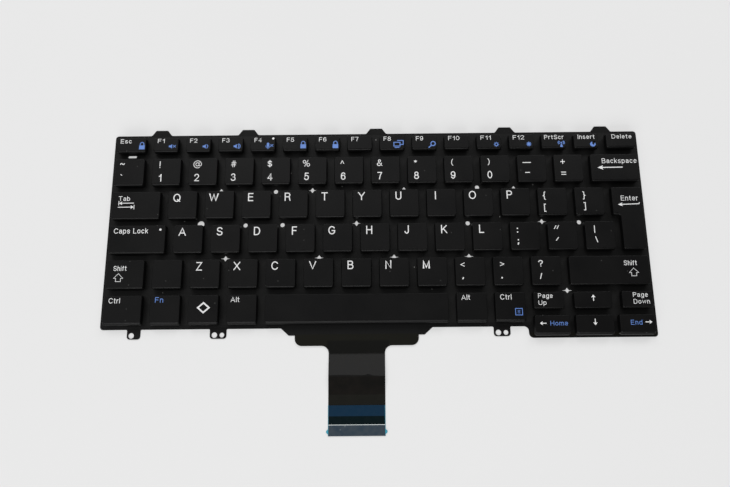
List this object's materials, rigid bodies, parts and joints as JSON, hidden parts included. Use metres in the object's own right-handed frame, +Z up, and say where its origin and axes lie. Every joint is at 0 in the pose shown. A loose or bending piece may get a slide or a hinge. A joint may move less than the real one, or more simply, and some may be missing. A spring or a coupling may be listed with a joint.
{
  "type": "laptop keyboard",
  "caption": "Low-profile laptop keyboard on a stamped plate, with scissor-hinged keycaps that travel, a printed film and a flat connector tail.",
  "frame": {"origin": "middle of the base plate's underside, between its front and rear edges and its two sides", "axes": "+X to the right along the key rows, +Y from the space bar to the function keys, +Z up out of the keytops"},
  "size_m": [0.2782, 0.1582, 0.0054],
  "materials": {
    "plate": "matte black paint",
    "film": "satin film",
    "stiffener": "satin film",
    "dome": "soft matte",
    "hinge": "moulded",
    "wire": "drawn wire",
    "keycap": "fine matte"
  },
  "bodies": {
    "chassis": {"base_plate": "plate", "membrane_sheet": "film", "tail_stiffener": "stiffener", "rubber_domes": "dome", "scissor_hinges": "hinge", "stabiliser_bars": "wire", "back_row_keys": "keycap"},
    "key_a": {"key_a": "keycap"},
    "key_apostrophe": {"key_apostrophe": "keycap"},
    "key_b": {"key_b": "keycap"},
    "key_backslash": {"key_backslash": "keycap"},
    "key_c": {"key_c": "keycap"},
    "key_caps_lock": {"key_caps_lock": "keycap"},
    "key_comma": {"key_comma": "keycap"},
    "key_d": {"key_d": "keycap"},
    "key_down": {"key_down": "keycap"},
    "key_e": {"key_e": "keycap"},
    "key_enter": {"key_enter": "keycap"},
    "key_f": {"key_f": "keycap"},
    "key_fn": {"key_fn": "keycap"},
    "key_g": {"key_g": "keycap"},
    "key_h": {"key_h": "keycap"},
    "key_i": {"key_i": "keycap"},
    "key_iso": {"key_iso": "keycap"},
    "key_j": {"key_j": "keycap"},
    "key_k": {"key_k": "keycap"},
    "key_l": {"key_l": "keycap"},
    "key_left": {"key_left": "keycap"},
    "key_left_alt": {"key_left_alt": "keycap"},
    "key_left_bracket": {"key_left_bracket": "keycap"},
    "key_left_ctrl": {"key_left_ctrl": "keycap"},
    "key_left_shift": {"key_left_shift": "keycap"},
    "key_m": {"key_m": "keycap"},
    "key_n": {"key_n": "keycap"},
    "key_o": {"key_o": "keycap"},
    "key_p": {"key_p": "keycap"},
    "key_page_down": {"key_page_down": "keycap"},
    "key_page_up": {"key_page_up": "keycap"},
    "key_period": {"key_period": "keycap"},
    "key_q": {"key_q": "keycap"},
    "key_r": {"key_r": "keycap"},
    "key_right": {"key_right": "keycap"},
    "key_right_alt": {"key_right_alt": "keycap"},
    "key_right_bracket": {"key_right_bracket": "keycap"},
    "key_right_ctrl": {"key_right_ctrl": "keycap"},
    "key_right_shift": {"key_right_shift": "keycap"},
    "key_s": {"key_s": "keycap"},
    "key_semicolon": {"key_semicolon": "keycap"},
    "key_slash": {"key_slash": "keycap"},
    "key_space": {"key_space": "keycap"},
    "key_super": {"key_super": "keycap"},
    "key_t": {"key_t": "keycap"},
    "key_tab": {"key_tab": "keycap"},
    "key_u": {"key_u": "keycap"},
    "key_up": {"key_up": "keycap"},
    "key_v": {"key_v": "keycap"},
    "key_w": {"key_w": "keycap"},
    "key_x": {"key_x": "keycap"},
    "key_y": {"key_y": "keycap"},
    "key_z": {"key_z": "keycap"}
  },
  "joints": [
    {"name": "press_a", "type": "slide", "parent": "chassis", "child": "key_a", "axis": [0, 0, -1], "range_m": [0, 0.0016], "stiffness_N_per_m": 350, "deforming": ["rubber_domes", "scissor_hinges"]},
    {"name": "press_apostrophe", "type": "slide", "parent": "chassis", "child": "key_apostrophe", "axis": [0, 0, -1], "range_m": [0, 0.0016], "stiffness_N_per_m": 350, "deforming": ["rubber_domes", "scissor_hinges"]},
    {"name": "press_b", "type": "slide", "parent": "chassis", "child": "key_b", "axis": [0, 0, -1], "range_m": [0, 0.0016], "stiffness_N_per_m": 350, "deforming": ["rubber_domes", "scissor_hinges"]},
    {"name": "press_backslash", "type": "slide", "parent": "chassis", "child": "key_backslash", "axis": [0, 0, -1], "range_m": [0, 0.0016], "stiffness_N_per_m": 350, "deforming": ["rubber_domes", "scissor_hinges"]},
    {"name": "press_c", "type": "slide", "parent": "chassis", "child": "key_c", "axis": [0, 0, -1], "range_m": [0, 0.0016], "stiffness_N_per_m": 350, "deforming": ["rubber_domes", "scissor_hinges"]},
    {"name": "press_caps_lock", "type": "slide", "parent": "chassis", "child": "key_caps_lock", "axis": [0, 0, -1], "range_m": [0, 0.0016], "stiffness_N_per_m": 350, "deforming": ["rubber_domes", "scissor_hinges", "stabiliser_bars"]},
    {"name": "press_comma", "type": "slide", "parent": "chassis", "child": "key_comma", "axis": [0, 0, -1], "range_m": [0, 0.0016], "stiffness_N_per_m": 350, "deforming": ["rubber_domes", "scissor_hinges"]},
    {"name": "press_d", "type": "slide", "parent": "chassis", "child": "key_d", "axis": [0, 0, -1], "range_m": [0, 0.0016], "stiffness_N_per_m": 350, "deforming": ["rubber_domes", "scissor_hinges"]},
    {"name": "press_down", "type": "slide", "parent": "chassis", "child": "key_down", "axis": [0, 0, -1], "range_m": [0, 0.0016], "stiffness_N_per_m": 350, "deforming": ["rubber_domes", "scissor_hinges"]},
    {"name": "press_e", "type": "slide", "parent": "chassis", "child": "key_e", "axis": [0, 0, -1], "range_m": [0, 0.0016], "stiffness_N_per_m": 350, "deforming": ["rubber_domes", "scissor_hinges"]},
    {"name": "press_enter", "type": "slide", "parent": "chassis", "child": "key_enter", "axis": [0, 0, -1], "range_m": [0, 0.0016], "stiffness_N_per_m": 350, "deforming": ["rubber_domes", "scissor_hinges", "stabiliser_bars"]},
    {"name": "press_f", "type": "slide", "parent": "chassis", "child": "key_f", "axis": [0, 0, -1], "range_m": [0, 0.0016], "stiffness_N_per_m": 350, "deforming": ["rubber_domes", "scissor_hinges"]},
    {"name": "press_fn", "type": "slide", "parent": "chassis", "child": "key_fn", "axis": [0, 0, -1], "range_m": [0, 0.0016], "stiffness_N_per_m": 350, "deforming": ["rubber_domes", "scissor_hinges"]},
    {"name": "press_g", "type": "slide", "parent": "chassis", "child": "key_g", "axis": [0, 0, -1], "range_m": [0, 0.0016], "stiffness_N_per_m": 350, "deforming": ["rubber_domes", "scissor_hinges"]},
    {"name": "press_h", "type": "slide", "parent": "chassis", "child": "key_h", "axis": [0, 0, -1], "range_m": [0, 0.0016], "stiffness_N_per_m": 350, "deforming": ["rubber_domes", "scissor_hinges"]},
    {"name": "press_i", "type": "slide", "parent": "chassis", "child": "key_i", "axis": [0, 0, -1], "range_m": [0, 0.0016], "stiffness_N_per_m": 350, "deforming": ["rubber_domes", "scissor_hinges"]},
    {"name": "press_iso", "type": "slide", "parent": "chassis", "child": "key_iso", "axis": [0, 0, -1], "range_m": [0, 0.0016], "stiffness_N_per_m": 350, "deforming": ["rubber_domes", "scissor_hinges"]},
    {"name": "press_j", "type": "slide", "parent": "chassis", "child": "key_j", "axis": [0, 0, -1], "range_m": [0, 0.0016], "stiffness_N_per_m": 350, "deforming": ["rubber_domes", "scissor_hinges"]},
    {"name": "press_k", "type": "slide", "parent": "chassis", "child": "key_k", "axis": [0, 0, -1], "range_m": [0, 0.0016], "stiffness_N_per_m": 350, "deforming": ["rubber_domes", "scissor_hinges"]},
    {"name": "press_l", "type": "slide", "parent": "chassis", "child": "key_l", "axis": [0, 0, -1], "range_m": [0, 0.0016], "stiffness_N_per_m": 350, "deforming": ["rubber_domes", "scissor_hinges"]},
    {"name": "press_left", "type": "slide", "parent": "chassis", "child": "key_left", "axis": [0, 0, -1], "range_m": [0, 0.0016], "stiffness_N_per_m": 350, "deforming": ["rubber_domes", "scissor_hinges"]},
    {"name": "press_left_alt", "type": "slide", "parent": "chassis", "child": "key_left_alt", "axis": [0, 0, -1], "range_m": [0, 0.0016], "stiffness_N_per_m": 350, "deforming": ["rubber_domes", "scissor_hinges"]},
    {"name": "press_left_bracket", "type": "slide", "parent": "chassis", "child": "key_left_bracket", "axis": [0, 0, -1], "range_m": [0, 0.0016], "stiffness_N_per_m": 350, "deforming": ["rubber_domes", "scissor_hinges"]},
    {"name": "press_left_ctrl", "type": "slide", "parent": "chassis", "child": "key_left_ctrl", "axis": [0, 0, -1], "range_m": [0, 0.0016], "stiffness_N_per_m": 350, "deforming": ["rubber_domes", "scissor_hinges"]},
    {"name": "press_left_shift", "type": "slide", "parent": "chassis", "child": "key_left_shift", "axis": [0, 0, -1], "range_m": [0, 0.0016], "stiffness_N_per_m": 350, "deforming": ["rubber_domes", "scissor_hinges"]},
    {"name": "press_m", "type": "slide", "parent": "chassis", "child": "key_m", "axis": [0, 0, -1], "range_m": [0, 0.0016], "stiffness_N_per_m": 350, "deforming": ["rubber_domes", "scissor_hinges"]},
    {"name": "press_n", "type": "slide", "parent": "chassis", "child": "key_n", "axis": [0, 0, -1], "range_m": [0, 0.0016], "stiffness_N_per_m": 350, "deforming": ["rubber_domes", "scissor_hinges"]},
    {"name": "press_o", "type": "slide", "parent": "chassis", "child": "key_o", "axis": [0, 0, -1], "range_m": [0, 0.0016], "stiffness_N_per_m": 350, "deforming": ["rubber_domes", "scissor_hinges"]},
    {"name": "press_p", "type": "slide", "parent": "chassis", "child": "key_p", "axis": [0, 0, -1], "range_m": [0, 0.0016], "stiffness_N_per_m": 350, "deforming": ["rubber_domes", "scissor_hinges"]},
    {"name": "press_page_down", "type": "slide", "parent": "chassis", "child": "key_page_down", "axis": [0, 0, -1], "range_m": [0, 0.0016], "stiffness_N_per_m": 350, "deforming": ["rubber_domes", "scissor_hinges"]},
    {"name": "press_page_up", "type": "slide", "parent": "chassis", "child": "key_page_up", "axis": [0, 0, -1], "range_m": [0, 0.0016], "stiffness_N_per_m": 350, "deforming": ["rubber_domes", "scissor_hinges"]},
    {"name": "press_period", "type": "slide", "parent": "chassis", "child": "key_period", "axis": [0, 0, -1], "range_m": [0, 0.0016], "stiffness_N_per_m": 350, "deforming": ["rubber_domes", "scissor_hinges"]},
    {"name": "press_q", "type": "slide", "parent": "chassis", "child": "key_q", "axis": [0, 0, -1], "range_m": [0, 0.0016], "stiffness_N_per_m": 350, "deforming": ["rubber_domes", "scissor_hinges"]},
    {"name": "press_r", "type": "slide", "parent": "chassis", "child": "key_r", "axis": [0, 0, -1], "range_m": [0, 0.0016], "stiffness_N_per_m": 350, "deforming": ["rubber_domes", "scissor_hinges"]},
    {"name": "press_right", "type": "slide", "parent": "chassis", "child": "key_right", "axis": [0, 0, -1], "range_m": [0, 0.0016], "stiffness_N_per_m": 350, "deforming": ["rubber_domes", "scissor_hinges"]},
    {"name": "press_right_alt", "type": "slide", "parent": "chassis", "child": "key_right_alt", "axis": [0, 0, -1], "range_m": [0, 0.0016], "stiffness_N_per_m": 350, "deforming": ["rubber_domes", "scissor_hinges"]},
    {"name": "press_right_bracket", "type": "slide", "parent": "chassis", "child": "key_right_bracket", "axis": [0, 0, -1], "range_m": [0, 0.0016], "stiffness_N_per_m": 350, "deforming": ["rubber_domes", "scissor_hinges"]},
    {"name": "press_right_ctrl", "type": "slide", "parent": "chassis", "child": "key_right_ctrl", "axis": [0, 0, -1], "range_m": [0, 0.0016], "stiffness_N_per_m": 350, "deforming": ["rubber_domes", "scissor_hinges"]},
    {"name": "press_right_shift", "type": "slide", "parent": "chassis", "child": "key_right_shift", "axis": [0, 0, -1], "range_m": [0, 0.0016], "stiffness_N_per_m": 350, "deforming": ["rubber_domes", "scissor_hinges", "stabiliser_bars"]},
    {"name": "press_s", "type": "slide", "parent": "chassis", "child": "key_s", "axis": [0, 0, -1], "range_m": [0, 0.0016], "stiffness_N_per_m": 350, "deforming": ["rubber_domes", "scissor_hinges"]},
    {"name": "press_semicolon", "type": "slide", "parent": "chassis", "child": "key_semicolon", "axis": [0, 0, -1], "range_m": [0, 0.0016], "stiffness_N_per_m": 350, "deforming": ["rubber_domes", "scissor_hinges"]},
    {"name": "press_slash", "type": "slide", "parent": "chassis", "child": "key_slash", "axis": [0, 0, -1], "range_m": [0, 0.0016], "stiffness_N_per_m": 350, "deforming": ["rubber_domes", "scissor_hinges"]},
    {"name": "press_space", "type": "slide", "parent": "chassis", "child": "key_space", "axis": [0, 0, -1], "range_m": [0, 0.0016], "stiffness_N_per_m": 350, "deforming": ["rubber_domes", "scissor_hinges", "stabiliser_bars"]},
    {"name": "press_super", "type": "slide", "parent": "chassis", "child": "key_super", "axis": [0, 0, -1], "range_m": [0, 0.0016], "stiffness_N_per_m": 350, "deforming": ["rubber_domes", "scissor_hinges"]},
    {"name": "press_t", "type": "slide", "parent": "chassis", "child": "key_t", "axis": [0, 0, -1], "range_m": [0, 0.0016], "stiffness_N_per_m": 350, "deforming": ["rubber_domes", "scissor_hinges"]},
    {"name": "press_tab", "type": "slide", "parent": "chassis", "child": "key_tab", "axis": [0, 0, -1], "range_m": [0, 0.0016], "stiffness_N_per_m": 350, "deforming": ["rubber_domes", "scissor_hinges", "stabiliser_bars"]},
    {"name": "press_u", "type": "slide", "parent": "chassis", "child": "key_u", "axis": [0, 0, -1], "range_m": [0, 0.0016], "stiffness_N_per_m": 350, "deforming": ["rubber_domes", "scissor_hinges"]},
    {"name": "press_up", "type": "slide", "parent": "chassis", "child": "key_up", "axis": [0, 0, -1], "range_m": [0, 0.0016], "stiffness_N_per_m": 350, "deforming": ["rubber_domes", "scissor_hinges"]},
    {"name": "press_v", "type": "slide", "parent": "chassis", "child": "key_v", "axis": [0, 0, -1], "range_m": [0, 0.0016], "stiffness_N_per_m": 350, "deforming": ["rubber_domes", "scissor_hinges"]},
    {"name": "press_w", "type": "slide", "parent": "chassis", "child": "key_w", "axis": [0, 0, -1], "range_m": [0, 0.0016], "stiffness_N_per_m": 350, "deforming": ["rubber_domes", "scissor_hinges"]},
    {"name": "press_x", "type": "slide", "parent": "chassis", "child": "key_x", "axis": [0, 0, -1], "range_m": [0, 0.0016], "stiffness_N_per_m": 350, "deforming": ["rubber_domes", "scissor_hinges"]},
    {"name": "press_y", "type": "slide", "parent": "chassis", "child": "key_y", "axis": [0, 0, -1], "range_m": [0, 0.0016], "stiffness_N_per_m": 350, "deforming": ["rubber_domes", "scissor_hinges"]},
    {"name": "press_z", "type": "slide", "parent": "chassis", "child": "key_z", "axis": [0, 0, -1], "range_m": [0, 0.0016], "stiffness_N_per_m": 350, "deforming": ["rubber_domes", "scissor_hinges"]}
  ]
}
